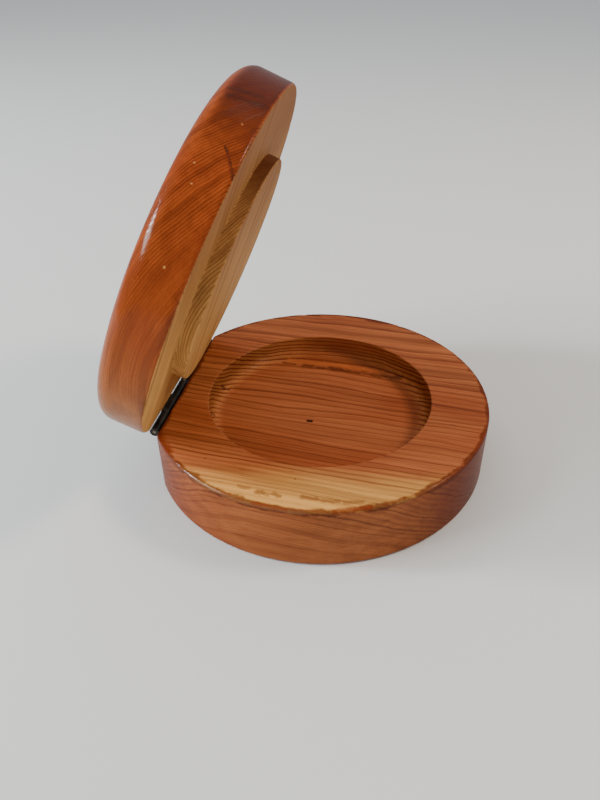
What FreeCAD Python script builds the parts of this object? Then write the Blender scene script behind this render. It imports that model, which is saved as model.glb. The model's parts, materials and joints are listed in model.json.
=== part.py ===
# Hinged round wooden press: a recessed base board and a lid board with a plug, on two butt hinges.
# Millimetres. +Z is up, the hinges are at -X, and the origin is the centre of the base's underside.

import os

import FreeCAD
import Part
import Sketcher

DIMENSIONS = [
    ("board_radius", 101.6),
    ("board_flat", 84.8),            # centre of the boards to the flats that carry the hinges
    ("base_height", 39.0),
    ("base_corner", 6.0),            # upright rounding where the base's flat meets its round side
    ("base_top_round", 1.3),
    ("base_foot_round", 2.0),
    ("recess_radius", 67.6),
    ("recess_depth", 14.0),
    ("recess_cove", 7.5),
    ("recess_rim_round", 0.7),
    ("seam_gap", 0.3),               # base top to the lid's inner face, closed
    ("lid_thickness", 27.0),
    ("lid_crown_round", 8.7),
    ("lid_corner", 9.4),
    ("lid_rim_round", 1.5),
    ("plug_radius", 65.4),
    ("plug_depth", 7.3),
    ("plug_round", 0.8),
    ("lid_opening", 67.0),           # degrees from closed
    ("axis_out", 3.0),               # hinge axis outside the boards' flats
    ("axis_height", 37.0),
    ("hinge_length", 50.8),
    ("near_hinge_y", -26.4),
    ("far_hinge_y", 27.8),
    ("barrel_radius", 2.7),
    ("knuckle_gap", 0.2),
    ("knuckle_clearance", 0.3),      # cut-out in a leaf to the other leaf's knuckle
    ("pin_radius", 1.2),
    ("pin_fit", 0.03),
    ("pin_chamfer", 0.25),
    ("leaf_thickness", 1.2),
    ("leaf_reach", 15.0),            # hinge axis to the leaf's far edge
    ("leaf_corner", 0.8),
    ("leaf_web_end", 1.6),
    ("screw_spread", 15.0),          # hinge's middle to each screw
    ("screw_drop", 9.0),             # hinge axis to the screws
    ("screw_length", 12.7),
    ("screw_head_radius", 2.45),
    ("screw_shank_radius", 1.35),
    ("screw_head_lip", 0.05),        # stands proud of the leaf
    ("screw_tip_length", 3.0),
    ("screw_slot_width", 0.6),
    ("screw_slot_depth", 0.55),
    ("screw_fit", 0.04),
    ("pilot_end", 0.6),              # pilot hole past the screw's tip
]

# Sizes that follow from the driving ones, as spreadsheet formulas
DERIVED = [
    ("axis_back", "=board_flat + axis_out"),
    ("lid_face", "=base_height + seam_gap - axis_height"),
    ("knuckle", "=(hinge_length - 2 * knuckle_gap) / 3"),
    ("leaf_face", "=axis_out - leaf_thickness"),
    ("leaf_notch", "=barrel_radius + knuckle_clearance"),
    ("bore_radius", "=pin_radius + pin_fit"),
    ("screw_hole", "=screw_shank_radius + screw_fit"),
    ("screw_sink", "=screw_head_radius - screw_shank_radius"),
    ("screw_face", "=leaf_face - screw_head_lip"),
    ("pilot_depth", "=screw_face + screw_length - axis_out + pilot_end"),
    ("recess_floor", "=base_height - recess_depth"),
]

NODES = []

doc = FreeCAD.newDocument("round_press")
sheet = doc.addObject("Spreadsheet::Sheet", "dims")
for row, (alias, value) in enumerate(DIMENSIONS + DERIVED, start=1):
    sheet.set("A%d" % row, alias)
    sheet.set("B%d" % row, str(value))
    sheet.setAlias("B%d" % row, alias)
doc.recompute()


def size(alias):
    """The present value of one named dimension."""
    return float(sheet.get(alias))


def new_body(label, is_node=True):
    body = doc.addObject("PartDesign::Body", label)
    body.Label = label
    if is_node:
        NODES.append(body)
    return body


def new_sketch(body, name, plane, offset=None):
    """A sketch on one of the body's own origin planes, raised along its normal by an expression."""
    sketch = body.newObject("Sketcher::SketchObject", name)
    support = [f for f in body.Origin.OriginFeatures if f.Role == plane][0]
    sketch.AttachmentSupport = [(support, "")]
    sketch.MapMode = "FlatFace"
    if offset:
        sketch.setExpression("AttachmentOffset.Base.z", offset)
    return sketch


def bind(sketch, kind, *where, name, expression):
    """Add one dimensional constraint, name it and tie it to the spreadsheet."""
    value = abs(sketch_value(expression))
    number = sketch.addConstraint(Sketcher.Constraint(kind, *where, value))
    sketch.renameConstraint(number, name)
    sketch.setExpression("Constraints.%s" % name, expression)


def sketch_value(expression):
    """The number that an expression over the sheet's cells gives now."""
    return float(sheet.evalExpression(expression.replace("dims.", "")))


def add_circle(sketch, name, centre, radius):
    """A circle whose centre (two expressions, or the origin) and radius are bound to the sheet."""
    middle = [sketch_value(part) for part in centre]
    normal = FreeCAD.Vector(0, 0, 1)
    circle = Part.Circle(FreeCAD.Vector(*middle, 0), normal, sketch_value(radius))
    number = sketch.addGeometry(circle)
    bind(sketch, "Radius", number, name=name + "_radius", expression=radius)
    place_point(sketch, name, number, 3, middle, centre)


def add_outline(sketch, name, points):
    """A closed outline of straight lines; each corner is a pair of expressions bound to the sheet."""
    corners = [[sketch_value(part) for part in point] for point in points]
    first = sketch.GeometryCount
    count = len(points)
    for i in range(count):
        start = FreeCAD.Vector(*corners[i], 0)
        end = FreeCAD.Vector(*corners[(i + 1) % count], 0)
        sketch.addGeometry(Part.LineSegment(start, end))
    for i in range(count):
        sketch.addConstraint(Sketcher.Constraint("Coincident", first + i, 2, first + (i + 1) % count, 1))
    for i in range(count):
        place_point(sketch, "%s_%d" % (name, i), first + i, 1, corners[i], points[i])


def place_point(sketch, name, number, end, corner, point):
    """Tie one point of the sketch to the origin by its two expressions."""
    axes = (("DistanceX", -2, name + "_x"), ("DistanceY", -1, name + "_y"))
    for (kind, axis, label), value, part in zip(axes, corner, point):
        if abs(value) < 1e-9:
            sketch.addConstraint(Sketcher.Constraint("PointOnObject", number, end, axis))
        elif value > 0:
            bind(sketch, kind, -1, 1, number, end, name=label, expression=part)
        else:
            bind(sketch, kind, number, end, -1, 1, name=label, expression="-(%s)" % part)


def pad(body, sketch, name, length, reverse=False, both_ways=False):
    feature = body.newObject("PartDesign::Pad", name)
    feature.Profile = sketch
    feature.setExpression("Length", length)
    feature.Reversed = reverse
    feature.Midplane = both_ways
    doc.recompute()
    return feature


def pocket(body, sketch, name, depth=None, reverse=False):
    """Cut a sketch's shape, right through both ways or to a depth, and check that it did cut."""
    before = body.Shape.Volume
    feature = body.newObject("PartDesign::Pocket", name)
    feature.Profile = sketch
    if depth is None:
        feature.Type = "ThroughAll"
        feature.Midplane = True
    else:
        feature.setExpression("Length", depth)
        feature.Reversed = reverse
    doc.recompute()
    if body.Shape.Volume > before - 0.01:
        raise RuntimeError("%s cuts nothing" % name)
    return feature


def dress(body, kind, name, dimension, choose, expected):
    """Fillet or chamfer the edges of the tip that choose() picks, after counting them."""
    base = body.Tip
    names = ["Edge%d" % (i + 1) for i, edge in enumerate(base.Shape.Edges) if choose(edge)]
    if len(names) != expected:
        raise RuntimeError("%s: %d edges found, %d wanted" % (name, len(names), expected))
    feature = body.newObject("PartDesign::" + kind, name)
    feature.Base = (base, names)
    feature.setExpression("Radius" if kind == "Fillet" else "Size", dimension)
    doc.recompute()
    return feature


def is_level(edge, height):
    """True when the whole edge lies at one height."""
    box = edge.BoundBox
    return abs(box.ZMin - height) < 1e-4 and abs(box.ZMax - height) < 1e-4


def is_upright(edge):
    box = edge.BoundBox
    return box.XLength < 1e-4 and box.YLength < 1e-4 and box.ZLength > 1.0


def has_radius(edge, radius):
    return isinstance(edge.Curve, Part.Circle) and abs(edge.Curve.Radius - radius) < 1e-4


def put(thing, across="0 mm", turned=False):
    """Place a piece that is drawn about the hinge axis; the lid's pieces are swung open."""
    thing.setExpression("Placement.Base.x", "-dims.axis_back")
    thing.setExpression("Placement.Base.y", across)
    thing.setExpression("Placement.Base.z", "dims.axis_height")
    if turned:
        thing.Placement.Rotation = FreeCAD.Rotation(FreeCAD.Vector(0, 1, 0), -size("lid_opening"))
        thing.setExpression("Placement.Rotation.Angle", "-dims.lid_opening")


def screw_places():
    """The screws' offsets along the hinge axis, as expressions: two to each hinge."""
    hinges = ("dims.near_hinge_y", "dims.far_hinge_y")
    return ["%s %s dims.screw_spread" % (hinge, sign) for hinge in hinges for sign in "-+"]


def round_board(body, centre_x, flat_x, bottom, thickness, corner):
    """A disc with a flat cut on the hinge side and the two upright corners rounded."""
    outline = new_sketch(body, body.Label + "_outline", "XY_Plane", bottom)
    add_circle(outline, "disc", (centre_x, "0"), "dims.board_radius")
    pad(body, outline, body.Label + "_disc", thickness)
    waste = new_sketch(body, body.Label + "_waste", "XY_Plane", bottom)
    far_x = "%s - dims.board_radius" % flat_x
    low, high = "-dims.board_radius", "dims.board_radius"
    add_outline(waste, "waste", [(far_x, low), (flat_x, low), (flat_x, high), (far_x, high)])
    pocket(body, waste, body.Label + "_flat")
    dress(body, "Fillet", body.Label + "_corners", corner,
          lambda edge: is_upright(edge) and edge.BoundBox.XMax < sketch_value(flat_x) + 1e-3, 2)


def drill_pilots(body, flat_x, height, across):
    """Blind holes for the screws, square to the flat."""
    holes = new_sketch(body, body.Label + "_pilots", "YZ_Plane", flat_x)
    for i, place in enumerate(across):
        add_circle(holes, "pilot_%d" % i, (place, height), "dims.screw_hole")
    pocket(body, holes, body.Label + "_pilot_holes", "dims.pilot_depth", reverse=True)


def make_base_board():
    body = new_body("base_board")
    top = size("base_height")
    round_board(body, "0", "-dims.board_flat", "0 mm", "dims.base_height", "dims.base_corner")
    recess = new_sketch(body, "recess_outline", "XY_Plane", "dims.base_height")
    add_circle(recess, "recess", ("0", "0"), "dims.recess_radius")
    pocket(body, recess, "recess", "dims.recess_depth")
    inner = size("recess_radius")
    dress(body, "Fillet", "recess_cove", "dims.recess_cove",
          lambda edge: has_radius(edge, inner) and is_level(edge, size("recess_floor")), 1)
    dress(body, "Fillet", "recess_rim", "dims.recess_rim_round",
          lambda edge: has_radius(edge, inner) and is_level(edge, top), 1)
    rim = inner + size("recess_rim_round")
    dress(body, "Fillet", "base_top_edge", "dims.base_top_round",
          lambda edge: is_level(edge, top) and not has_radius(edge, rim), 5)
    dress(body, "Fillet", "base_foot_edge", "dims.base_foot_round", lambda edge: is_level(edge, 0.0), 5)
    drill_pilots(body, "-dims.board_flat", "dims.axis_height - dims.screw_drop", screw_places())


def make_lid_board():
    """Modelled closed, about the hinge axis, with the plug turned from the same board."""
    body = new_body("lid_board")
    face = size("lid_face")
    crown = face + size("lid_thickness")
    round_board(body, "dims.axis_back", "dims.axis_out",
                "dims.lid_face", "dims.lid_thickness", "dims.lid_corner")
    dress(body, "Fillet", "lid_crown", "dims.lid_crown_round", lambda edge: is_level(edge, crown), 5)
    dress(body, "Fillet", "lid_rim", "dims.lid_rim_round", lambda edge: is_level(edge, face), 5)
    plug = new_sketch(body, "plug_outline", "XY_Plane", "dims.lid_face")
    add_circle(plug, "plug", ("dims.axis_back", "0"), "dims.plug_radius")
    pad(body, plug, "plug", "dims.plug_depth", reverse=True)
    plug_face = face - size("plug_depth")
    dress(body, "Fillet", "plug_edge", "dims.plug_round", lambda edge: is_level(edge, plug_face), 1)
    drill_pilots(body, "dims.axis_out", "dims.screw_drop", screw_places())
    put(body, turned=True)


def make_leaf(side, carries):
    """One hinge leaf: a plate, its share of the knuckles, a bore for the pin and two screw holes."""
    label = "%s_hinge_%s_leaf" % (side, carries)
    sign = "" if carries == "lid" else "-"
    body = new_body(label)

    plate = new_sketch(body, label + "_plate_outline", "XZ_Plane")
    web, reach = "%sdims.leaf_web_end" % sign, "%sdims.leaf_reach" % sign
    add_outline(plate, "plate", [("dims.leaf_face", web), ("dims.axis_out", web),
                                 ("dims.axis_out", reach), ("dims.leaf_face", reach)])
    pad(body, plate, label + "_plate", "dims.hinge_length", both_ways=True)

    add_roll(body, label, sign)
    cut_knuckles(body, label, sign, carries)

    bore = new_sketch(body, label + "_bore_outline", "XZ_Plane")
    add_circle(bore, "bore", ("0", "0"), "dims.bore_radius")
    pocket(body, bore, label + "_bore")

    edge_height = sketch_value(reach)
    dress(body, "Fillet", label + "_corners", "dims.leaf_corner",
          lambda edge: is_level(edge, edge_height) and edge.BoundBox.YLength < 1e-4, 2)

    holes = new_sketch(body, label + "_holes_outline", "YZ_Plane")
    for i, place in enumerate(("-dims.screw_spread", "dims.screw_spread")):
        add_circle(holes, "hole_%d" % i, (place, "%sdims.screw_drop" % sign), "dims.screw_hole")
    pocket(body, holes, label + "_holes")
    outside, hole = size("leaf_face"), size("screw_hole")
    dress(body, "Chamfer", label + "_sinks", "dims.screw_sink",
          lambda edge: has_radius(edge, hole) and abs(edge.BoundBox.XMax - outside) < 1e-4, 2)
    put(body, "dims.%s_hinge_y" % side, turned=carries == "lid")


def add_roll(body, label, sign):
    """The roll around the pin, closed by a short web that overlaps the plate."""
    roll = new_sketch(body, label + "_roll_outline", "XZ_Plane")
    direction = -1 if sign == "-" else 1
    radius = size("barrel_radius")
    line = size("leaf_face")
    drop = (radius ** 2 - line ** 2) ** 0.5
    end = 2 * drop
    touch = FreeCAD.Vector(radius, 0, 0)
    far_side = FreeCAD.Vector(-radius, 0, 0)
    meet = FreeCAD.Vector(line, direction * drop, 0)
    outer = FreeCAD.Vector(line, direction * end, 0)
    inner = FreeCAD.Vector(radius, direction * end, 0)
    roll.addGeometry(Part.Arc(touch, far_side, meet))
    roll.addGeometry(Part.LineSegment(meet, outer))
    roll.addGeometry(Part.LineSegment(outer, inner))
    roll.addGeometry(Part.LineSegment(inner, touch))
    arc_start, arc_end = (1, 2) if direction < 0 else (2, 1)
    roll.addConstraint(Sketcher.Constraint("Coincident", 0, 3, -1, 1))
    roll.addConstraint(Sketcher.Constraint("Coincident", 0, arc_end, 1, 1))
    roll.addConstraint(Sketcher.Constraint("Coincident", 1, 2, 2, 1))
    roll.addConstraint(Sketcher.Constraint("Coincident", 2, 2, 3, 1))
    roll.addConstraint(Sketcher.Constraint("Coincident", 3, 2, 0, arc_start))
    roll.addConstraint(Sketcher.Constraint("Vertical", 1))
    roll.addConstraint(Sketcher.Constraint("Horizontal", 2))
    roll.addConstraint(Sketcher.Constraint("Vertical", 3))
    roll.addConstraint(Sketcher.Constraint("PointOnObject", 3, 2, -1))
    bind(roll, "Radius", 0, name="roll_radius", expression="dims.barrel_radius")
    bind(roll, "DistanceX", -1, 1, 1, 2, name="web_line", expression="dims.leaf_face")
    bind(roll, "Distance", 3, name="web_length",
         expression="2 * sqrt(dims.barrel_radius ^ 2 - dims.leaf_face ^ 2)")
    pad(body, roll, label + "_roll", "dims.hinge_length", both_ways=True)


def cut_knuckles(body, label, sign, carries):
    """Take away the share of the roll that belongs to the other leaf."""
    notch = new_sketch(body, label + "_notch_outline", "YZ_Plane")
    back = "-dims.leaf_notch" if sign == "-" else "dims.leaf_notch"
    clear = "2 * dims.leaf_notch" if sign == "-" else "-2 * dims.leaf_notch"
    middle = "dims.knuckle / 2 + dims.knuckle_gap"
    if carries == "base":
        spans = [("-(%s)" % middle, middle)]
    else:
        inside, outside = "dims.knuckle / 2", "dims.hinge_length / 2 + dims.knuckle_gap"
        spans = [("-(%s)" % outside, "-(%s)" % inside), (inside, outside)]
    for i, (start, end) in enumerate(spans):
        add_outline(notch, "notch_%d" % i, [(start, back), (end, back), (end, clear), (start, clear)])
    pocket(body, notch, label + "_notch")


def make_pin(side):
    label = "%s_hinge_pin" % side
    body = new_body(label)
    outline = new_sketch(body, label + "_outline", "XZ_Plane")
    add_circle(outline, "pin", ("0", "0"), "dims.pin_radius")
    pad(body, outline, label + "_rod", "dims.hinge_length", both_ways=True)
    dress(body, "Chamfer", label + "_ends", "dims.pin_chamfer",
          lambda edge: has_radius(edge, size("pin_radius")), 2)
    put(body, "dims.%s_hinge_y" % side)


def make_screw(label, slot_angle):
    """One slotted countersunk wood screw: head at the local origin, tip along +X, thread left plain."""
    body = new_body(label, is_node=False)
    section = new_sketch(body, label + "_section", "XY_Plane")
    shank, head = "dims.screw_shank_radius", "dims.screw_head_radius"
    cone_end = "dims.screw_head_lip + dims.screw_sink"
    add_outline(section, "section", [
        ("0", "0"), ("0", head), ("dims.screw_head_lip", head), (cone_end, shank),
        ("dims.screw_length - dims.screw_tip_length", shank), ("dims.screw_length", "0"),
    ])
    turned = body.newObject("PartDesign::Revolution", label + "_turned")
    turned.Profile = section
    turned.ReferenceAxis = (section, ["H_Axis"])
    turned.Angle = 360
    doc.recompute()
    slot = new_sketch(body, label + "_slot_outline", "YZ_Plane")
    half, long_half = "dims.screw_slot_width / 2", "2 * dims.screw_head_radius"
    add_outline(slot, "slot", [("-(%s)" % long_half, "-(%s)" % half), (long_half, "-(%s)" % half),
                               (long_half, half), ("-(%s)" % long_half, half)])
    pocket(body, slot, label + "_slot", "dims.screw_slot_depth", reverse=True)
    body.Placement.Rotation = FreeCAD.Rotation(FreeCAD.Vector(1, 0, 0), slot_angle)
    return body


def make_screws(carries, slot_angles):
    """The four screws of one board, about the hinge axis, grouped in one node."""
    sign = "" if carries == "lid" else "-"
    screws = []
    for i, (place, angle) in enumerate(zip(screw_places(), slot_angles), start=1):
        screw = make_screw("%s_screw_%d" % (carries, i), angle)
        screw.setExpression("Placement.Base.x", "dims.screw_face")
        screw.setExpression("Placement.Base.y", place)
        screw.setExpression("Placement.Base.z", "%sdims.screw_drop" % sign)
        screws.append(screw)
    group = doc.addObject("Part::Compound", "%s_hinge_screws" % carries)
    group.Label = "%s_hinge_screws" % carries
    group.Links = screws
    put(group, turned=carries == "lid")
    NODES.append(group)


def check_everything():
    doc.recompute()
    for thing in doc.Objects:
        if "Invalid" in thing.State or "Error" in thing.State:
            raise RuntimeError("%s failed: %s" % (thing.Label, thing.State))
    for node in NODES:
        if node.Shape.isNull() or not node.Shape.isValid():
            raise RuntimeError("%s has no valid shape" % node.Label)


make_base_board()
make_lid_board()
for hinge_side in ("near", "far"):
    make_leaf(hinge_side, "base")
    make_leaf(hinge_side, "lid")
    make_pin(hinge_side)
make_screws("base", (20, 75, -40, 10))
make_screws("lid", (-65, 35, 5, -30))

check_everything()
os.makedirs("parts", exist_ok=True)
for node in NODES:
    node.Shape.exportStep("parts/%s.step" % node.Label)
    print("%-24s %2d solids %10.1f mm3" % (node.Label, len(node.Shape.Solids), node.Shape.Volume))
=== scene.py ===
# A hinged round wooden press in varnished softwood, standing open on a pale floor.
import json
import math

import bpy
import numpy as np
from mathutils import Matrix, Vector


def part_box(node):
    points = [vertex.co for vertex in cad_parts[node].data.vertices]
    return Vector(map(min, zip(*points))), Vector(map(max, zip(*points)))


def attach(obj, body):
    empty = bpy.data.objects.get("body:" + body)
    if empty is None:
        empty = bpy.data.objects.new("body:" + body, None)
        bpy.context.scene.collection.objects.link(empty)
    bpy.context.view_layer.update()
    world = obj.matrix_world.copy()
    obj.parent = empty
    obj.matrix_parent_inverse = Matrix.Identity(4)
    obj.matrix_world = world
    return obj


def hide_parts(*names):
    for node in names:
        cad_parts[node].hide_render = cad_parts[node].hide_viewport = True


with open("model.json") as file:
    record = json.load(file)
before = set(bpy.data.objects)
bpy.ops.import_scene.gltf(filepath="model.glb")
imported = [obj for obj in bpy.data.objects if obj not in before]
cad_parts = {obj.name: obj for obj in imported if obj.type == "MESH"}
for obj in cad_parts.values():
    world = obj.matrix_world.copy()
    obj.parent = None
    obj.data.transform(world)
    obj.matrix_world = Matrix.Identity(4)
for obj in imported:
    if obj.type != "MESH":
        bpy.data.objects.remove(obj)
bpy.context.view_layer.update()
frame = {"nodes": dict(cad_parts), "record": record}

hinge = frame["record"]["behaviour"]["joints"][0]
hingeSpot = Vector(hinge["pos_m"])
openAngle = math.radians(-hinge["range_deg"][0])  # the closed lid is the joint's low limit
baseLow, baseHigh = [Vector(corner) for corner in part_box("base_board")]
boardRadius = baseHigh.y
boardFlat = -baseLow.x
mm = 0.001


def softNoise(points, size, seed):
    # Value noise from -1 to 1: random values on a lattice, blended smoothly across each cell.
    cells = points / size + 100.0
    corner = np.floor(cells).astype(np.int64)
    part = cells - corner
    part = part * part * (3.0 - 2.0 * part)
    total = np.zeros(len(points))
    for dx in (0, 1):
        for dy in (0, 1):
            for dz in (0, 1):
                key = (corner[:, 0] + dx) * 73856093 ^ (corner[:, 1] + dy) * 19349663
                key ^= (corner[:, 2] + dz) * 83492791
                key = (key ^ (seed * 2654435761)) & 0x7FFFFFFF
                key = (key * 1103515245 + 12345) & 0x7FFFFFFF
                key = ((key >> 9) ^ key) & 0xFFFFF
                weight = np.abs(1 - dx - part[:, 0]) * np.abs(1 - dy - part[:, 1])
                weight *= np.abs(1 - dz - part[:, 2])
                total += weight * (key / 524287.5 - 1.0)
    return total


def smoothStep(values, low, high):
    # Rises from 0 at low to 1 at high, level at both ends: three parts squared less two cubed.
    part = np.clip((values - low) / (high - low), 0.0, 1.0)
    return part * part * (3.0 - 2.0 * part)


def gridMesh(name, grid):
    # A closed skin over rows of points that run round the piece; the first and last rows are one point each.
    rows, around = grid.shape[:2]
    points = np.concatenate([grid[0, :1], grid[1:rows - 1].reshape(-1, 3), grid[-1, :1]])
    along = np.arange(around)
    nextAlong = (along + 1) % around
    lower = 1 + np.arange(rows - 3)[:, None] * around
    upper = lower + around
    quads = np.stack([lower + along, lower + nextAlong, upper + nextAlong, upper + along], axis=-1)
    last = len(points) - 1
    lastRow = last - around
    firstFan = np.stack([np.zeros(around, int), 1 + nextAlong, 1 + along], axis=-1)
    lastFan = np.stack([np.full(around, last), lastRow + along, lastRow + nextAlong], axis=-1)
    mesh = bpy.data.meshes.new(name)
    faces = quads.reshape(-1, 4).tolist() + firstFan.tolist() + lastFan.tolist()
    mesh.from_pydata(points.tolist(), [], faces)
    mesh.validate()
    mesh.polygons.foreach_set("use_smooth", np.ones(len(mesh.polygons), dtype=bool))
    mesh.update()
    piece = bpy.data.objects.new(name, mesh)
    bpy.context.scene.collection.objects.link(piece)
    return piece, points


def meshNormals(mesh):
    normals = np.empty(len(mesh.vertices) * 3)
    mesh.vertex_normals.foreach_get("vector", normals)
    return normals.reshape(-1, 3)


def faceCentres(mesh):
    centres = np.empty(len(mesh.polygons) * 3)
    mesh.polygons.foreach_get("center", centres)
    return centres.reshape(-1, 3)


def storeValues(mesh, name, values):
    layer = mesh.attributes.new(name, "FLOAT", "POINT")
    layer.data.foreach_set("value", values.astype(np.float32))


def boardOutline(shape):
    # The board seen from above: for each step round it, an anchor, an outward direction and a reach.
    # A point set in by d lies at anchor + (reach - d) * direction, on arc, corners and flat alike.
    radius, flat, corner = shape["radius"], shape["flat"], shape["corner"]
    centreX = -(flat - corner)
    centreY = math.sqrt((radius - corner) ** 2 - centreX ** 2)
    meet = math.atan2(centreY, centreX)
    arc = np.linspace(-meet, meet, shape["arcSteps"], endpoint=False)
    turn = np.linspace(meet, math.pi, shape["cornerSteps"], endpoint=False)
    run = np.linspace(centreY, -centreY, shape["flatSteps"], endpoint=False)
    back = np.linspace(-math.pi, -meet, shape["cornerSteps"], endpoint=False)
    angles = np.concatenate([arc, turn, np.full(len(run), math.pi), back])
    direction = np.stack([np.cos(angles), np.sin(angles)], axis=1)
    anchor = np.zeros_like(direction)
    anchor[len(arc):len(arc) + len(turn)] = (centreX, centreY)
    middle = len(arc) + len(turn)
    anchor[middle:middle + len(run), 0] = -flat
    anchor[middle:middle + len(run), 1] = run
    anchor[middle + len(run):] = (centreX, -centreY)
    reach = np.concatenate([np.full(len(arc), radius), np.full(len(turn), corner),
                            np.zeros(len(run)), np.full(len(back), corner)])
    return anchor, direction, reach


def quarterTurn(count):
    return np.linspace(0.0, math.pi / 2, count + 1)[1:]


class BoardRows:
    # Gathers the rows of a board's skin, from the middle of one face round to the middle of the other.
    def __init__(self, shape):
        self.anchor, self.direction, self.reach = boardOutline(shape)
        self.rows = []

    def outline(self, inset):
        return self.anchor + (self.reach - inset)[:, None] * self.direction

    def ring(self, radius):
        # A circle whose points lie on the same rays from the middle as the outline's.
        edge = self.outline(0.0)
        return radius * edge / np.linalg.norm(edge, axis=1)[:, None]

    def add(self, plan, height):
        self.rows.append(np.column_stack([plan, np.full(len(plan), height)]))

    def addFace(self, outer, height, shares):
        for share in shares:
            self.add(outer * share, height)

    def addBand(self, outer, inner, height, shares):
        for share in shares:
            self.add(outer * (1 - share) + inner * share, height)

    def grid(self):
        return np.stack(self.rows)


baseShape = {
    "radius": boardRadius, "flat": boardFlat, "corner": 6 * mm, "height": baseHigh.z,
    "topRound": 1.6 * mm, "footRound": 2 * mm,
    "recessRadius": 67.6 * mm, "recessDepth": 14 * mm, "cove": 7.5 * mm, "rimRound": 0.7 * mm,
    "arcSteps": 470, "cornerSteps": 12, "flatSteps": 76,
}


def makeBaseGrid():
    # Underside, foot rounding, side, top rounding, ledge, recess rim, wall, cove and recess floor.
    # Each rounding is a quarter circle: the sine of its angle gives one way in, the cosine the other.
    s = baseShape
    board = BoardRows(s)
    foot, top, topRound = s["footRound"], s["height"], s["topRound"]
    recess, rimRound, cove = s["recessRadius"], s["rimRound"], s["cove"]
    floor = top - s["recessDepth"]
    board.addFace(board.outline(foot), 0.0, np.linspace(0.0, 1.0, 14))
    for a in quarterTurn(6):
        board.add(board.outline(foot * (1 - math.sin(a))), foot * (1 - math.cos(a)))
    for z in np.linspace(foot, top - topRound, 27)[1:]:
        board.add(board.outline(0.0), z)
    for a in quarterTurn(5):
        board.add(board.outline(topRound * (1 - math.cos(a))), top - topRound * (1 - math.sin(a)))
    board.addBand(board.outline(topRound), board.ring(recess + rimRound), top, np.linspace(0.0, 1.0, 27)[1:])
    for a in quarterTurn(4):
        board.add(board.ring(recess + rimRound * (1 - math.sin(a))), top - rimRound * (1 - math.cos(a)))
    for z in np.linspace(top - rimRound, floor + cove, 6)[1:]:
        board.add(board.ring(recess), z)
    for a in quarterTurn(11):
        board.add(board.ring(recess - cove * (1 - math.cos(a))), floor + cove * (1 - math.sin(a)))
    board.addFace(board.ring(recess - cove), floor, np.linspace(1.0, 0.0, 40)[1:])
    return board.grid()


lidShape = {
    "radius": boardRadius, "flat": boardFlat, "corner": 9.4 * mm, "face": baseHigh.z + 0.3 * mm,
    "thickness": 27 * mm, "crownRound": 8.7 * mm, "rimRound": 1.5 * mm,
    "plugRadius": 65.4 * mm, "plugDepth": 7.3 * mm, "plugRound": 0.8 * mm, "plugFillet": 0.6 * mm,
    "arcSteps": 460, "cornerSteps": 16, "flatSteps": 72,
}


def makeLidGrid():
    # The lid closed: plug face, plug wall, inner ledge, rim rounding, side, crown rounding and outer face.
    # Roundings are quarter circles, as on the base.
    s = lidShape
    board = BoardRows(s)
    plug, plugRound, fillet = s["plugRadius"], s["plugRound"], s["plugFillet"]
    face, rimRound, crownRound = s["face"], s["rimRound"], s["crownRound"]
    plugFace = face - s["plugDepth"]
    crownTop = face + s["thickness"]
    board.addFace(board.ring(plug - plugRound), plugFace, np.linspace(0.0, 1.0, 34))
    for a in quarterTurn(5):
        board.add(board.ring(plug - plugRound * (1 - math.sin(a))), plugFace + plugRound * (1 - math.cos(a)))
    for z in np.linspace(plugFace + plugRound, face - fillet, 8)[1:]:
        board.add(board.ring(plug), z)
    for a in quarterTurn(3):
        board.add(board.ring(plug + fillet * (1 - math.cos(a))), face - fillet * (1 - math.sin(a)))
    board.addBand(board.ring(plug + fillet), board.outline(rimRound), face, np.linspace(0.0, 1.0, 25)[1:])
    for a in quarterTurn(5):
        board.add(board.outline(rimRound * (1 - math.sin(a))), face + rimRound * (1 - math.cos(a)))
    for z in np.linspace(face + rimRound, crownTop - crownRound, 15)[1:]:
        board.add(board.outline(0.0), z)
    for a in quarterTurn(14):
        board.add(board.outline(crownRound * (1 - math.cos(a))), crownTop - crownRound * (1 - math.sin(a)))
    board.addFace(board.outline(crownRound), crownTop, np.linspace(1.0, 0.0, 34)[1:])
    return board.grid()


def swingOpen(points):
    # Turns closed-lid points about the hinge axis by the opening angle.
    dx = points[:, 0] - hingeSpot.x
    dz = points[:, 2] - hingeSpot.z
    turned = points.copy()
    turned[:, 0] = hingeSpot.x + math.cos(openAngle) * dx - math.sin(openAngle) * dz
    turned[:, 2] = hingeSpot.z + math.sin(openAngle) * dx + math.cos(openAngle) * dz
    return turned


def outlineReach(points, shape):
    # Distance in from the board's outline, near enough for values that only matter close to the edge.
    fromArc = shape["radius"] - np.linalg.norm(points[:, :2], axis=1)
    fromFlat = points[:, 0] + shape["flat"]
    return np.minimum(fromArc, fromFlat)


def inRecess(points):
    fromMiddle = np.linalg.norm(points[:, :2], axis=1)
    return (fromMiddle < baseShape["recessRadius"] + 0.2 * mm) & (points[:, 2] > baseShape["height"] / 2)


def onLidInnerSide(points):
    return points[:, 2] < lidShape["face"] + 0.25 * mm


def ridges(points, endGrain, shape):
    # Washboard ridges: where the recess's cove cuts the end grain, and along the wall of the plug. Besides
    # raising the relief, the value paints highlight and shade onto the ridges.
    fromMiddle = np.linalg.norm(points[:, :2], axis=1)
    if "recessRadius" in shape:
        foot = shape["recessRadius"] - shape["cove"]
        return smoothStep(fromMiddle, foot - 1 * mm, foot + 2 * mm) * endGrain * inRecess(points)
    onWall = (np.abs(fromMiddle - shape["plugRadius"]) < 0.3 * mm) & (points[:, 2] < shape["face"] - 0.5 * mm)
    return 0.4 * onWall * (1 - 0.6 * endGrain)


wear = {
    "nickReach": 1.6 * mm, "nickSize": 7 * mm, "nickFrom": (0.45, 0.95),  # small knocks along the worn edge
    "gatherReach": 3.4 * mm,                                             # how wide varnish gathers at it
    "sag": 0.05 * mm, "sagSize": 24 * mm,                                # the faces aren't quite true
}


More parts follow.
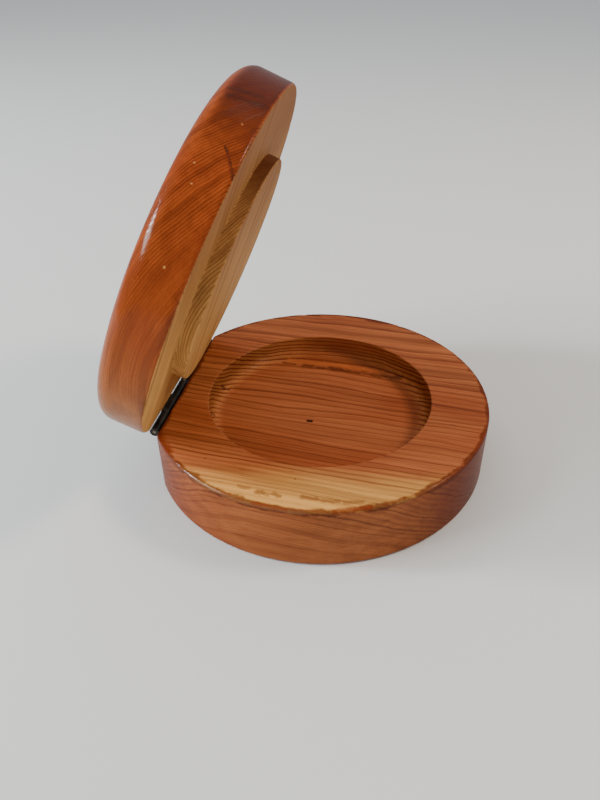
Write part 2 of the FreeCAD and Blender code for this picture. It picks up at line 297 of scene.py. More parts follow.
def finishBoard(name, grid, shape, look, arrisHeight, innerSide):
    # Skins the grid, wears its edges, and stores the values that the wood's colours follow.
    # Closeness to the edge is a bell: e to the minus square of the distance over its reach.
    piece, points = gridMesh(name, grid)
    mesh = piece.data
    normals = meshNormals(mesh)
    reachOut = outlineReach(points, shape)
    drop = points[:, 2] - arrisHeight
    edge = np.exp(-((reachOut / wear["nickReach"]) ** 2) - (drop / wear["nickReach"]) ** 2)
    gather = np.exp(-((reachOut / wear["gatherReach"]) ** 2) - (drop / wear["gatherReach"]) ** 2)
    nick = smoothStep(softNoise(points, wear["nickSize"], look["seed"]), *wear["nickFrom"])
    sag = wear["sag"] * softNoise(points, wear["sagSize"], look["seed"] + 1)
    offFloor = smoothStep(points[:, 2], 0.5 * mm, 3 * mm)  # the face that the base stands on stays flat
    points = points + normals * (sag * offFloor - look["nickDepth"] * edge * nick)[:, None]
    grain = np.array([math.cos(look["turn"]), -math.sin(look["turn"]), 0.0])
    endGrain = np.abs(normals @ grain)
    storeValues(mesh, "endGrain", endGrain)
    storeValues(mesh, "arris", gather)
    storeValues(mesh, "ridge", ridges(points, endGrain, shape))
    mesh.vertices.foreach_set("co", points.ravel())
    centres = faceCentres(mesh)
    part = np.where(innerSide(centres), 1, 0)
    if look["thickEdge"]:
        inward, down, farthest = look["thickEdge"]
        onEdge = (outlineReach(centres, shape) < inward) & (np.abs(centres[:, 2] - arrisHeight) < down)
        part[onEdge & (centres[:, 0] < farthest)] = 2
    mesh.polygons.foreach_set("material_index", part.astype(np.int32))
    if look["swing"]:
        points = swingOpen(points)
    mesh.vertices.foreach_set("co", points.ravel())
    mesh.update()
    return piece


def setSocket(tree, plug, value):
    if isinstance(value, bpy.types.NodeSocket):
        tree.links.new(value, plug)
    else:
        plug.default_value = value


def addNode(tree, kind, settings=(), **sockets):
    made = tree.nodes.new("ShaderNode" + kind)
    for key, value in dict(settings).items():
        setattr(made, key, value)
    for key, value in sockets.items():
        setSocket(tree, made.inputs[key], value)
    return made


def mathNode(tree, operation, *values, clamp=False):
    made = addNode(tree, "Math", {"operation": operation, "use_clamp": clamp})
    for plug, value in zip(made.inputs, values):
        setSocket(tree, plug, value)
    return made.outputs[0]


def vectorNode(tree, operation, *values, result=0):
    made = addNode(tree, "VectorMath", {"operation": operation})
    for plug, value in zip(made.inputs, values):
        setSocket(tree, plug, value)
    return made.outputs[result]


def mixColours(tree, share, first, second, blend="MIX"):
    made = addNode(tree, "Mix", {"data_type": "RGBA", "blend_type": blend})
    setSocket(tree, made.inputs[0], share)
    for plug, value in ((made.inputs[6], first), (made.inputs[7], second)):
        setSocket(tree, plug, (*value, 1.0) if isinstance(value, tuple) else value)
    return made.outputs[2]


def spread(tree, value, low, high, outLow=0.0, outHigh=1.0, kind="SMOOTHSTEP"):
    made = addNode(tree, "MapRange", {"interpolation_type": kind}, Value=value)
    for name, number in (("From Min", low), ("From Max", high), ("To Min", outLow), ("To Max", outHigh)):
        made.inputs[name].default_value = number
    return made.outputs[0]


def noiseAt(tree, vector, sizes, detail=3.0, roughness=0.55, shift=0.0, colour=False):
    # Noise whose blotches have the three given sizes, in the vector's own unit.
    shares = [1.0 / size for size in sizes]
    scaled = vectorNode(tree, "MULTIPLY_ADD", vector, shares, (shift, shift * 0.7, shift * 1.3))
    made = addNode(tree, "TexNoise", Vector=scaled, Scale=1.0, Detail=detail, Roughness=roughness)
    return made.outputs["Color" if colour else "Fac"]


def noiseLine(tree, value, size, shift=0.0, detail=2.0):
    # Noise along one measure, in blotches of the given size.
    place = mathNode(tree, "MULTIPLY_ADD", value, 1.0 / size, shift)
    made = addNode(tree, "TexNoise", {"noise_dimensions": "1D"}, W=place, Scale=1.0,
                   Detail=detail, Roughness=0.5)
    return made.outputs["Fac"]


def pieceValue(tree, name):
    return addNode(tree, "Attribute", {"attribute_name": name}).outputs["Fac"]


def fillRamp(ramp, stops):
    band = ramp.color_ramp
    while len(band.elements) > 1:
        band.elements.remove(band.elements[-1])
    for index, (place, value) in enumerate(stops):
        element = band.elements[0] if index == 0 else band.elements.new(place)
        element.position = place
        element.color = (value, value, value, 1.0)


def newMaterial(name):
    material = bpy.data.materials.new(name)
    material.use_nodes = True
    tree = material.node_tree
    tree.nodes.clear()
    shader = tree.nodes.new("ShaderNodeBsdfPrincipled")
    output = tree.nodes.new("ShaderNodeOutputMaterial")
    tree.links.new(shader.outputs[0], output.inputs["Surface"])
    return material, tree, shader


dark = (0.045, 0.012, 0.006)
char = (0.020, 0.008, 0.005)
palest = (0.74, 0.34, 0.10)
redBrown = (0.22, 0.032, 0.008)
stain = (0.17, 0.048, 0.012)
soot = (0.075, 0.016, 0.007)
# Painted light: an orange glow laid near the recess's back cove.
paintedGlow = (0.62, 0.16, 0.035)


def stroke(start, finish, reach, share, tint):
    # A ragged mark from start to finish in millimetres, with its reach, how well it covers, and its colour.
    return (Vector(start) * mm, Vector(finish) * mm, reach, share, tint)


def spot(x, y, z, reach, share, tint):
    return stroke((x, y, z), (x, y, z), reach, share, tint)


def arrisStroke(fromAngle, toAngle, reach, share):
    # A stretch of the base's top edge where varnish has gathered, between two bearings in degrees.
    radius = 1000 * boardRadius - 1.0
    start, finish = [(radius * math.cos(math.radians(a)), radius * math.sin(math.radians(a)), 38.4)
                     for a in (fromAngle, toAngle)]
    return stroke(start, finish, reach, share, redBrown)


baseWood = {
    "seed": 11, "turn": math.radians(4.0), "swing": False, "nickDepth": 0.55 * mm,
    "thickEdge": (1.6 * mm, 1.3 * mm, 10 * mm),  # glossy edge: how far in, how far down, and up to which x
    "pith": (130.0, 237.0),           # the tree's middle, across the grain and up, in millimetres
    "ring": 2.6, "ringDrift": 3.0,    # millimetres of growth a year, and how much that varies
    "wander": (8.0, 1.5, 0.26),       # how far the grain strays, slowly, quickly and raggedly
    "plainFrom": (303.0, 313.0),      # distances from the pith where the late lines fade
    "lateShare": 0.76, "bandShare": 0.25, "weakest": 0.35,
    "early": (0.51, 0.160, 0.054), "late": (0.120, 0.021, 0.008),
    "red": (0.36, 0.072, 0.022), "pale": (0.77, 0.385, 0.100), "deep": (0.10, 0.012, 0.003),
    "redShare": 0.55, "endShare": 0.80, "endFrom": 0.45,
    # Painted shade: the side is painted darker than the top.
    "sideShade": 0.6, "sideShadeTint": (0.66, 0.50, 0.42), "goldenAndLit": None,
    "sapFrom": (-64.0, -87.0, 0.11),  # where the sapwood fades in, in millimetres, and its slant
    "gather": 0.75, "roughness": (0.36, 0.52), "coat": 0.24, "coatRoughness": 0.10, "level": 0.02,
    "marks": [
        spot(0.2, -78.4, 39, 0.8, 0.85, dark),
        spot(-51.2, -70.5, 39, 0.7, 0.75, dark),
        stroke((-16.5, -91.4, 39), (-11.5, -92.0, 39), 1.9, 0.70, stain),
        stroke((-8.5, -91.4, 39), (-5.5, -92.3, 39), 1.7, 0.65, stain),
        stroke((-27.0, -88.8, 39), (-22.0, -89.4, 39), 1.5, 0.50, stain),
        stroke((6.5, -90.6, 39), (14.0, -91.2, 39), 1.7, 0.65, stain),
        stroke((17.0, -91.6, 39), (25.0, -91.0, 39), 1.6, 0.60, stain),
        stroke((28.0, -91.2, 39), (37.0, -88.8, 39), 1.5, 0.50, stain),
        arrisStroke(-76, -66, 1.7, 0.75),
        arrisStroke(-100, -90, 1.2, 0.65),
        arrisStroke(-112, -103, 0.8, 0.5),
        arrisStroke(-88, -78, 0.9, 0.5),
        arrisStroke(-62, -50, 0.9, 0.5),
        arrisStroke(-49, -40, 1.2, 0.40),
        arrisStroke(-38, -30, 0.9, 0.35),
        arrisStroke(-22, -12, 1.1, 0.45),
        arrisStroke(-148, -137, 3.4, 0.75),
        arrisStroke(-134, -124, 0.6, 0.5),
    ],
}

# Varnish stands thick and glossy along the base's top edge.
thickEdgeWood = dict(baseWood, coat=0.85, coatRoughness=0.06)

# The recess is washed and worn, so its varnish is thin.
recessWood = dict(
    baseWood, lateShare=0.76, early=(0.50, 0.154, 0.056), late=(0.125, 0.023, 0.010), coat=0.06,
    roughness=(0.46, 0.6), gather=0.0, sapFrom=None, sideShade=None, endShare=0.55,
    marks=[
        stroke((-5.2, -10.4, 25), (-3.4, -10.4, 25), 1.3, 0.95, char),
        spot(26.9, 19.5, 25, 0.6, 0.7, dark),
        stroke((-64.9, 10.4, 29.0), (-61.5, 12.4, 27.0), 1.7, 0.85, char),
        stroke((-63.8, -20.8, 31.5), (-62.2, -17.2, 28.5), 1.8, 0.9, char),
        stroke((-34.0, 51.6, 25.3), (-26.0, 51.0, 25), 1.3, 0.55, soot),
        stroke((-19.0, 50.6, 25), (-14.0, 50.3, 25), 2.7, 0.65, soot),
        stroke((-10.0, 49.8, 25), (-6.0, 49.4, 25), 1.8, 0.60, soot),
        stroke((-1.0, 50.0, 25), (5.0, 49.2, 25), 3.1, 0.65, soot),
        stroke((8.0, 48.6, 25), (18.0, 47.6, 25), 2.1, 0.65, soot),
        stroke((21.0, 48.2, 25), (25.0, 47.8, 25), 2.9, 0.60, soot),
        stroke((28.0, 47.2, 25), (35.0, 46.4, 25), 2.4, 0.70, soot),
        stroke((38.0, 46.2, 25), (48.0, 44.8, 26.5), 2.0, 0.60, soot),
        # Two orange strokes near the back cove: painted light that brightens it.
        stroke((-30.0, 54.5, 26.0), (10.0, 55.0, 25.6), 2.4, 0.40, paintedGlow),
        stroke((8.0, 53.5, 25.3), (34.0, 51.0, 25.6), 2.0, 0.30, paintedGlow),
    ])

lidWood = {
    "seed": 47, "turn": math.radians(2.0), "swing": True, "nickDepth": 0.25 * mm, "thickEdge": None,
    "pith": (400.0, 730.0), "ring": 1.18, "ringDrift": 1.3, "wander": (6.0, 0.9, 0.15),
    "plainFrom": (832.0, 848.0), "lateShare": 0.86, "bandShare": 0.32, "weakest": 0.40,
    "early": (0.41, 0.078, 0.013), "late": (0.078, 0.010, 0.002),
    "red": (0.33, 0.052, 0.010), "pale": (0.60, 0.26, 0.06), "deep": (0.085, 0.011, 0.003),
    "redShare": 0.7, "endShare": 0.88, "endFrom": 0.78,
    "sapFrom": None, "sideShade": None,
    "goldenAndLit": (30.0, -95.0, (0.46, 0.185, 0.036), 0.80),  # where the wood is painted yellower towards the hinges: partly its own colour, partly painted light
    "gather": 0.10, "roughness": (0.34, 0.50), "coat": 0.40, "coatRoughness": 0.09, "level": 0.02,
    "marks": [
        spot(78.8, -64.2, 61.1, 0.50, 0.60, palest),
        spot(77.0, -66.2, 56.7, 0.50, 0.65, palest),
        spot(71.0, -72.6, 54.1, 0.60, 0.75, palest),
        spot(41.6, -92.7, 50.5, 0.55, 0.75, palest),
        spot(91.9, -43.4, 46.8, 0.45, 0.5, palest),
        stroke((84.8, -55.9, 48.6), (81.4, -60.8, 43.6), 0.75, 0.7, dark),
        stroke((81.4, -60.8, 43.6), (76.9, -66.4, 39.2), 0.9, 0.7, dark),
        stroke((83.0, -58.6, 46.0), (79.0, -63.9, 41.4), 1.1, 0.35, redBrown),
        stroke((96.8, -31.0, 58.0), (97.8, -27.6, 43.0), 2.4, 0.50, dark),
        stroke((98.2, -26.0, 60.0), (99.3, -21.6, 46.0), 2.2, 0.50, dark),
        spot(-66.8, -76.6, 51.9, 0.4, 0.8, char),
    ],
}

# The lid's inner face is only oiled, so it is paler and dull; towards the hinges it is painted paler still,
# partly as painted light.
lidInnerWood = dict(
    lidWood, early=(0.34, 0.152, 0.053), late=(0.16, 0.052, 0.018), red=(0.30, 0.124, 0.040), plainFrom=None,
    deep=(0.075, 0.014, 0.004), endShare=0.9, endFrom=0.80, lateShare=0.62, gather=0.0, coat=0.0, level=0.03,
    roughness=(0.55, 0.7), goldenAndLit=(90.0, -55.0, (0.80, 0.45, 0.140), 0.92), marks=[])

# The figure that every piece of the wood shares: sizes along and across the grain, in millimetres.
figure = {
    "drifts": (((260, 60, 60), 1.3), ((60, 16, 16), 5.1), ((14, 2.6, 2.6), 9.7)),  # each with its own shift
    "unevenYears": 15.0, "hair": 0.42, "band": 4.5,
    "fibre": (34, 0.7, 0.7), "streak": (120, 5, 5), "blotch": (90, 34, 34), "fleck": (6.5, 0.55, 0.55),
    "ragged": (3.4, 1.7, 1.7), "sapDrift": (50, 5, 5),
    # how dark one year is: pale spring growth, then a late line that darkens and ends at once
    "year": ((0.0, 0.06), (0.36, 0.0), (0.60, 0.16), (0.77, 0.66), (0.87, 1.0), (0.95, 0.92), (1.0, 0.08)),
    "patch": (11 * mm, 11 * mm, 6 * mm), "ripple": (5 * mm, 5 * mm, 5 * mm),       # these two in metres
    "relief": 0.22 * mm, "coatRelief": 0.20 * mm, "ridgeHeight": 6.0, "coatIor": 1.4,
}


def treeMatrix(look):
    # From a board's own place to the tree: grain along X, the pith at the origin, in millimetres.
    toTree = Matrix.Rotation(look["turn"], 4, "Z")
    if look["swing"]:
        shut = Matrix.Rotation(openAngle, 4, "Y")
        toTree = toTree @ Matrix.Translation(hingeSpot) @ shut @ Matrix.Translation(-hingeSpot)
    toTree = Matrix.Scale(1000.0, 4) @ toTree
    across, up = look["pith"]
    return Matrix.Translation((0.0, -across, -up)) @ toTree


def growthRings(tree, look, inTree):
    # The grain wanders: slow drift, a quicker wave and a fine raggedness, all long along the grain.
    bent = inTree
    for reach, (sizes, shift) in zip(look["wander"], figure["drifts"]):
        push = noiseAt(tree, inTree, sizes, detail=1.5, shift=shift + look["seed"], colour=True)
        push = vectorNode(tree, "MULTIPLY_ADD", push, (0.0, 2 * reach, 2 * reach), (0.0, -reach, -reach))
        bent = vectorNode(tree, "ADD", bent, push)
    across = vectorNode(tree, "MULTIPLY", bent, (0.0, 1.0, 1.0))
    radius = vectorNode(tree, "LENGTH", across, result=1)

    # Years of uneven growth: rings from the distance to the pith, each with its own strength.
    uneven = noiseLine(tree, radius, figure["unevenYears"], shift=look["seed"])
    grown = mathNode(tree, "MULTIPLY_ADD", uneven, look["ringDrift"], radius)
    year = mathNode(tree, "DIVIDE", grown, look["ring"])
    yearNumber = mathNode(tree, "FLOOR", year)
    strength = addNode(tree, "TexWhiteNoise", {"noise_dimensions": "1D"}, W=yearNumber).outputs[0]
    strength = spread(tree, strength, 0.0, 1.0, look["weakest"], 1.0, "LINEAR")
    ramp = addNode(tree, "ValToRGB", Fac=mathNode(tree, "FRACT", year))
    fillRamp(ramp, figure["year"])
    line = ramp.outputs[0]
    late = mathNode(tree, "MULTIPLY", line, strength)
    if look["plainFrom"]:
        start, finish = look["plainFrom"]
        late = mathNode(tree, "MULTIPLY", late, spread(tree, radius, start, finish, 1.0, 0.25))
    return radius, line, late


def sapShare(tree, look, point, inTree):
    # Sapwood fades in towards one side of the board's top, along a slanting line that drifts with the grain.
    start, finish, tilt = look["sapFrom"]
    parts = addNode(tree, "SeparateXYZ", Vector=point)
    drift = noiseAt(tree, inTree, figure["sapDrift"], detail=2.0, shift=17.0)
    drift = spread(tree, drift, 0.0, 1.0, -9.0, 9.0, "LINEAR")
    sideways = mathNode(tree, "MULTIPLY_ADD", parts.outputs[1], 1000.0, drift)
    sideways = mathNode(tree, "MULTIPLY_ADD", parts.outputs[0], -1000.0 * tilt, sideways)
    nearTop = spread(tree, parts.outputs[2], 36.6 * mm, 38.6 * mm, 0.12, 1.0)
    return mathNode(tree, "MULTIPLY", spread(tree, sideways, start, finish), nearTop)


def goldenAndLitShare(tree, look, inTree, blotch):
    # The wood is painted yellower along the grain towards the hinges, in blotches: partly its own colour,
    # partly painted light that brightens the lid's parts lying in shade.
    start, finish, tint, share = look["goldenAndLit"]
    alongGrain = addNode(tree, "SeparateXYZ", Vector=inTree).outputs[0]
    goldenAndLit = mathNode(tree, "MULTIPLY_ADD", blotch, 60.0, alongGrain)
    return spread(tree, goldenAndLit, finish + 30.0, start + 30.0, share, 0.0), tint


def shadeSides(tree, look, point, colour):
    # The board's side is painted darker than its top, as painted shade; the recess, nearer the middle, is
    # left out.
    height = addNode(tree, "SeparateXYZ", Vector=point).outputs[2]
    below = spread(tree, height, 36.6 * mm, 38.4 * mm, look["sideShade"], 0.0)
    flat = vectorNode(tree, "MULTIPLY", point, (1.0, 1.0, 0.0))
    outside = spread(tree, vectorNode(tree, "LENGTH", flat, result=1), 74 * mm, 80 * mm)
    return mixColours(tree, mathNode(tree, "MULTIPLY", below, outside), colour, look["sideShadeTint"], "MULTIPLY")


def capsuleDistance(tree, point, near, far):
    # How far the point lies from the straight stroke between two places.
    along = far - near
    fromNear = vectorNode(tree, "SUBTRACT", point, near)
    if along.length < 1e-6:
        return vectorNode(tree, "LENGTH", fromNear, result=1)
    share = vectorNode(tree, "DOT_PRODUCT", fromNear, along / along.length_squared, result=1)
    share = mathNode(tree, "ADD", share, 0.0, clamp=True)
    step = addNode(tree, "VectorMath", {"operation": "SCALE"}, Scale=share)
    step.inputs[0].default_value = along
    return vectorNode(tree, "DISTANCE", fromNear, step.outputs[0], result=1)


def addMarks(tree, look, place, inTree, colour):
    # Each mark covers what lies within its reach, with a ragged edge.
    ragged = noiseAt(tree, inTree, figure["ragged"], detail=5.0, roughness=0.7, shift=61.0)
    for start, finish, reach, share, tint in look["marks"]:
        near, far = [place @ (swingPoint(end) if look["swing"] else end) for end in (start, finish)]
        away = mathNode(tree, "MULTIPLY_ADD", ragged, 3.0 * reach, capsuleDistance(tree, inTree, near, far))
        cover = spread(tree, away, 1.8 * reach, 2.8 * reach, share, 0.0)
        colour = mixColours(tree, cover, colour, tint)
    return colour


def swingPoint(spot):
    return Vector(swingOpen(np.array([spot]))[0])


def varnish(tree, shader, look, point, late, ridge, fibre):
    # Varnish over a relief of late lines that stand proud, fibres and a soft ripple.
    roughness = spread(tree, fibre, 0.3, 0.7, *look["roughness"], "LINEAR")
    tree.links.new(roughness, shader.inputs["Roughness"])
    shader.inputs["Specular IOR Level"].default_value = look["level"]
    shader.inputs["Coat Weight"].default_value = look["coat"]
    shader.inputs["Coat Roughness"].default_value = look["coatRoughness"]
    shader.inputs["Coat IOR"].default_value = figure["coatIor"]
    ripple = noiseAt(tree, point, figure["ripple"], detail=2.0, shift=41.0)
    lineHeight = mathNode(tree, "MULTIPLY_ADD", ridge, figure["ridgeHeight"], 0.55)
    height = mathNode(tree, "MULTIPLY_ADD", late, lineHeight, mathNode(tree, "MULTIPLY", ripple, 0.8))
    height = mathNode(tree, "MULTIPLY_ADD", fibre, 0.35, height)
    relief = addNode(tree, "Bump", Strength=0.55, Distance=figure["relief"], Height=height)
    coatRelief = addNode(tree, "Bump", Strength=0.50, Distance=figure["coatRelief"], Height=height)
    tree.links.new(relief.outputs[0], shader.inputs["Normal"])
    tree.links.new(coatRelief.outputs[0], shader.inputs["Coat Normal"])


def woodMaterial(name, look):
    material, tree, shader = newMaterial(name)
    place = treeMatrix(look)
    point = addNode(tree, "TexCoord").outputs["Object"]
    turn = place.to_3x3().normalized().to_euler("XYZ")
    inTree = addNode(tree, "Mapping", {"vector_type": "POINT"}, Vector=point, Rotation=turn,
                     Location=place.to_translation(), Scale=(1000.0, 1000.0, 1000.0)).outputs[0]
    radius, line, late = growthRings(tree, look, inTree)
    ridge = pieceValue(tree, "ridge")

    hairs = noiseLine(tree, radius, figure["hair"], shift=look["seed"] + 50.0, detail=1.0)
    band = noiseLine(tree, radius, figure["band"], shift=look["seed"] + 9.0, detail=1.0)
    fibre = noiseAt(tree, inTree, figure["fibre"], detail=5.0, roughness=0.62, shift=3.0)
    streak = noiseAt(tree, inTree, figure["streak"], detail=3.0, shift=7.0)
    blotch = noiseAt(tree, inTree, figure["blotch"], detail=2.5, shift=12.0)
    fleck = spread(tree, noiseAt(tree, inTree, figure["fleck"], detail=1.0, shift=21.0), 0.68, 0.78)

    # The wood between the late lines.
    redness = spread(tree, blotch, 0.38, 0.66, 0.0, look["redShare"])
    body = mixColours(tree, redness, look["early"], look["red"])
    if look["sapFrom"]:
        sap = sapShare(tree, look, point, inTree)
        body = mixColours(tree, sap, body, look["pale"])
        late = mathNode(tree, "MULTIPLY", late, mathNode(tree, "MULTIPLY_ADD", sap, -0.5, 1.0))
    # Partly painted light: the lid yellows and brightens towards the hinges.
    if look["goldenAndLit"]:
        goldenAndLit, tint = goldenAndLitShare(tree, look, inTree, blotch)
        body = mixColours(tree, goldenAndLit, body, tint)
    body = mixColours(tree, spread(tree, band, 0.48, 0.72, 0.0, look["bandShare"]), body, look["late"])
    body = mixColours(tree, spread(tree, streak, 0.35, 0.7, 0.0, 0.30), body, look["late"])
    # Painted highlight: along the ridges, the wood between the dark lines is painted pale.
    ridgeLight = mathNode(tree, "MULTIPLY", ridge, mathNode(tree, "SUBTRACT", 0.75, line, clamp=True))
    body = mixColours(tree, mathNode(tree, "MULTIPLY", ridgeLight, 0.55, clamp=True), body, look["pale"])

    # Late lines over it, then fibres, hair lines and flecks.
    # Painted shade: along the ridges the late lines are painted darker.
    lateShare = mathNode(tree, "MULTIPLY_ADD", ridge, 0.5, look["lateShare"])
    colour = mixColours(tree, mathNode(tree, "MULTIPLY", late, lateShare, clamp=True), body, look["late"])
    tone = mathNode(tree, "MULTIPLY", spread(tree, fibre, 0.25, 0.75, 0.86, 1.14, "LINEAR"),
                    spread(tree, hairs, 0.3, 0.7, 0.82, 1.14, "LINEAR"))
    grey = addNode(tree, "CombineColor", Red=tone, Green=tone, Blue=tone).outputs[0]
    colour = mixColours(tree, 1.0, colour, grey, "MULTIPLY")
    colour = mixColours(tree, mathNode(tree, "MULTIPLY", fleck, 0.5), colour, look["deep"])

    # End grain drinks the stain, worn edges hold dark varnish.
    endShare = spread(tree, pieceValue(tree, "endGrain"), look["endFrom"], 1.0, 0.0, look["endShare"])
    # Where the painted light brightens the lid, its end grain is kept from darkening.
    if look["goldenAndLit"]:
        endShare = mathNode(tree, "MULTIPLY", endShare, mathNode(tree, "SUBTRACT", 1.0, goldenAndLit))
    colour = mixColours(tree, endShare, colour, look["deep"])
    patchy = noiseAt(tree, point, figure["patch"], detail=4.0, roughness=0.6, shift=31.0)
    patchy = mathNode(tree, "MULTIPLY_ADD", pieceValue(tree, "arris"), 0.45, patchy)
    colour = mixColours(tree, spread(tree, patchy, 0.70, 0.92, 0.0, look["gather"]), colour, look["deep"])
    # Painted shade: the board's side darker than its top.
    if look["sideShade"]:
        colour = shadeSides(tree, look, point, colour)

    colour = addMarks(tree, look, place, inTree, colour)
    tree.links.new(colour, shader.inputs["Base Color"])
    varnish(tree, shader, look, point, late, ridge, fibre)
    return material


lacquer = {
    "black": (0.012, 0.010, 0.009), "brown": (0.034, 0.027, 0.021), "rubbed": (0.20, 0.16, 0.11),
    "cloud": (6 * mm, 6 * mm, 6 * mm), "scuff": (0.6 * mm, 7 * mm, 0.6 * mm), "scratchDepth": 0.08 * mm,
}


def lacquerMaterial(name):
    # Black-brown lacquer over steel, rubbed through to a brassy grey in fine scratches.
    material, tree, shader = newMaterial(name)
    point = addNode(tree, "TexCoord").outputs["Object"]
    cloud = noiseAt(tree, point, lacquer["cloud"], detail=4.0, shift=2.0)
    scuff = noiseAt(tree, point, lacquer["scuff"], detail=4.0, roughness=0.7, shift=6.0)
    bare = mathNode(tree, "MULTIPLY", spread(tree, scuff, 0.60, 0.72), spread(tree, cloud, 0.45, 0.65))
    colour = mixColours(tree, spread(tree, cloud, 0.35, 0.7), lacquer["black"], lacquer["brown"])
    colour = mixColours(tree, mathNode(tree, "MULTIPLY", bare, 0.5), colour, lacquer["rubbed"])
    tree.links.new(colour, shader.inputs["Base Color"])
    shader.inputs["Metallic"].default_value = 0.55
    tree.links.new(spread(tree, cloud, 0.3, 0.7, 0.34, 0.52, "LINEAR"), shader.inputs["Roughness"])
    bump = addNode(tree, "Bump", Strength=0.4, Distance=lacquer["scratchDepth"], Height=scuff).outputs[0]
    tree.links.new(bump, shader.inputs["Normal"])
    return material


steel = {
    "pin": ((0.10, 0.08, 0.055), (0.30, 0.25, 0.17)),      # dull and bright
    "screw": ((0.035, 0.029, 0.023), (0.14, 0.115, 0.08)),
    "cloud": (1.2 * mm, 1.2 * mm, 1.2 * mm), "pitDepth": 0.06 * mm,
}


def steelMaterial(name, dull, bright):
    # Worn steel with a brassy tarnish.
    material, tree, shader = newMaterial(name)
    point = addNode(tree, "TexCoord").outputs["Object"]
    cloud = noiseAt(tree, point, steel["cloud"], detail=5.0, roughness=0.65, shift=4.0)
    colour = mixColours(tree, spread(tree, cloud, 0.35, 0.65), dull, bright)
    tree.links.new(colour, shader.inputs["Base Color"])
    shader.inputs["Metallic"].default_value = 0.85
    tree.links.new(spread(tree, cloud, 0.3, 0.7, 0.36, 0.6, "LINEAR"), shader.inputs["Roughness"])
    bump = addNode(tree, "Bump", Strength=0.5, Distance=steel["pitDepth"], Height=cloud).outputs[0]
    tree.links.new(bump, shader.inputs["Normal"])
    return material


def dress(node, material):
    for slot in frame["nodes"][node].material_slots:
        slot.material = material


baseArris = baseShape["height"] - 0.3 * mm
baseBoard = finishBoard("baseBoard", makeBaseGrid(), baseShape, baseWood, baseArris, inRecess)
print("base board", len(baseBoard.data.polygons))
lidArris = lidShape["face"] + 0.3 * mm
lidBoard = finishBoard("lidBoard", makeLidGrid(), lidShape, lidWood, lidArris, onLidInnerSide)
print("lid board", len(lidBoard.data.polygons))

baseBoard.data.materials.append(woodMaterial("baseVarnishedWood", baseWood))
baseBoard.data.materials.append(woodMaterial("recessWood", recessWood))
baseBoard.data.materials.append(woodMaterial("thickVarnishEdge", thickEdgeWood))
lidBoard.data.materials.append(woodMaterial("lidVarnishedWood", lidWood))
lidBoard.data.materials.append(woodMaterial("lidInnerWood", lidInnerWood))
print("wood coloured")

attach(baseBoard, "base")
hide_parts("base_board")
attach(lidBoard, "lid")
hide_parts("lid_board")

hingeLacquer = lacquerMaterial("hingeLacquer")
pinSteel = steelMaterial("pinSteel", *steel["pin"])
screwSteel = steelMaterial("screwSteel", *steel["screw"])
for node in frame["nodes"]:
    if node.endswith("_leaf"):
        dress(node, hingeLacquer)
    elif node.endswith("_pin"):
        dress(node, pinSteel)
    elif node.endswith("_screws"):
        dress(node, screwSteel)
print("hinges dressed")

studio = {
    "floorColour": (0.76, 0.765, 0.755), "floorReach": 6.0,
    "worldColour": (0.90, 0.95, 1.0), "worldStrength": 0.40,
    "lights": {  # where each hangs, its width, height, power and colour
        "window": ((-1.54, -0.62, 1.12), 1.00, 0.35, 25.0, (0.94, 0.98, 1.0)),
        "brightPane": ((-1.62, -0.24, 1.12), 0.24, 0.30, 16.0, (0.94, 0.98, 1.0)),
        "lamp": ((0.97, 0.20, 1.06), 0.32, 0.32, 9.5, (1.0, 0.82, 0.64)),
    },
    "lightsAim": (0.0, 0.0, 0.06),
    "skySpot": (-0.25, 0.15, 1.0), "skyStrength": 0.70, "skySpread": math.radians(80),
}

view = {
    "spot": (0.05607, -0.33648, 0.28062), "aim": (-0.01058, -0.00887, 0.039),
    "roll": math.radians(-0.96), "lens": 30.65,
}


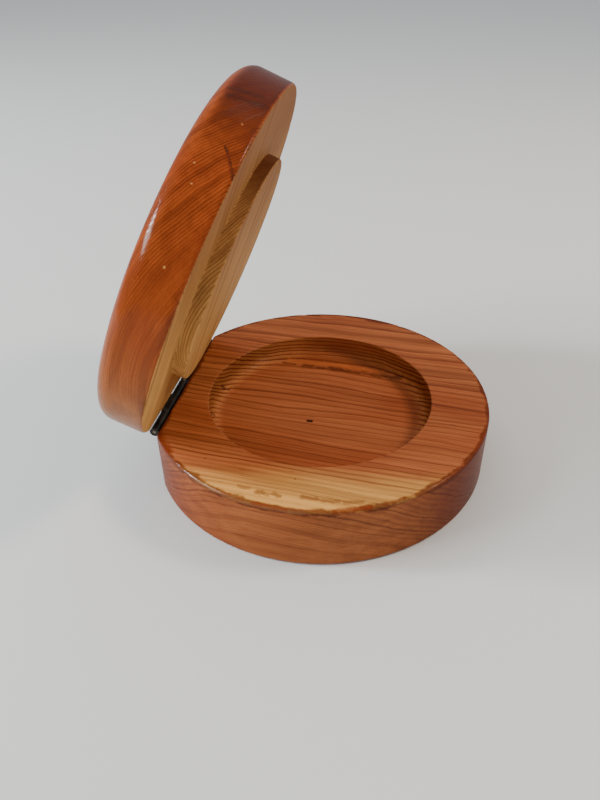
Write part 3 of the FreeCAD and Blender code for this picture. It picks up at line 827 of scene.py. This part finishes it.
def makeFloor():
    mesh = bpy.data.meshes.new("floor")
    reach = studio["floorReach"]
    corners = [(-reach, -reach, 0), (reach, -reach, 0), (reach, reach, 0), (-reach, reach, 0)]
    mesh.from_pydata(corners, [], [(0, 1, 2, 3)])
    floor = bpy.data.objects.new("floor", mesh)
    bpy.context.scene.collection.objects.link(floor)
    material, tree, shader = newMaterial("paleFloor")
    shader.inputs["Base Color"].default_value = (*studio["floorColour"], 1.0)
    shader.inputs["Roughness"].default_value = 0.85
    shader.inputs["Specular IOR Level"].default_value = 0.2
    mesh.materials.append(material)


def makeLight(name, spot, width, height, power, colour):
    light = bpy.data.lights.new(name, "AREA")
    light.shape = "RECTANGLE"
    light.size = width
    light.size_y = height
    light.energy = power
    light.color = colour
    lamp = bpy.data.objects.new(name, light)
    lamp.location = spot
    aim = Vector(studio["lightsAim"]) - Vector(spot)
    lamp.rotation_euler = aim.to_track_quat("-Z", "Y").to_euler()
    bpy.context.scene.collection.objects.link(lamp)


def makeSky():
    light = bpy.data.lights.new("sky", "SUN")
    light.energy = studio["skyStrength"]
    light.angle = studio["skySpread"]
    lamp = bpy.data.objects.new("sky", light)
    lamp.rotation_euler = (-Vector(studio["skySpot"])).to_track_quat("-Z", "Y").to_euler()
    lamp.visible_glossy = False
    bpy.context.scene.collection.objects.link(lamp)


def makeWorld():
    world = bpy.data.worlds.new("studio")
    world.use_nodes = True
    background = world.node_tree.nodes["Background"]
    background.inputs[0].default_value = (*studio["worldColour"], 1.0)
    background.inputs[1].default_value = studio["worldStrength"]
    bpy.context.scene.world = world


def makeCamera():
    # Looks from its spot at its aim, level with the floor and then rolled about that line.
    spot, aim = Vector(view["spot"]), Vector(view["aim"])
    forward = (aim - spot).normalized()
    level = forward.cross(Vector((0, 0, 1))).normalized()
    upright = level.cross(forward)
    right = math.cos(view["roll"]) * level + math.sin(view["roll"]) * upright
    up = right.cross(forward)
    lens = bpy.data.cameras.new("camera")
    lens.lens = view["lens"]
    lens.sensor_width = 36
    lens.clip_start = 0.01
    camera = bpy.data.objects.new("camera", lens)
    camera.matrix_world = Matrix((
        (right.x, up.x, -forward.x, spot.x),
        (right.y, up.y, -forward.y, spot.y),
        (right.z, up.z, -forward.z, spot.z),
        (0, 0, 0, 1)))
    bpy.context.scene.collection.objects.link(camera)
    bpy.context.scene.camera = camera


makeFloor()
makeSky()
for name, settings in studio["lights"].items():
    makeLight(name, *settings)
makeWorld()
makeCamera()
print("studio ready")
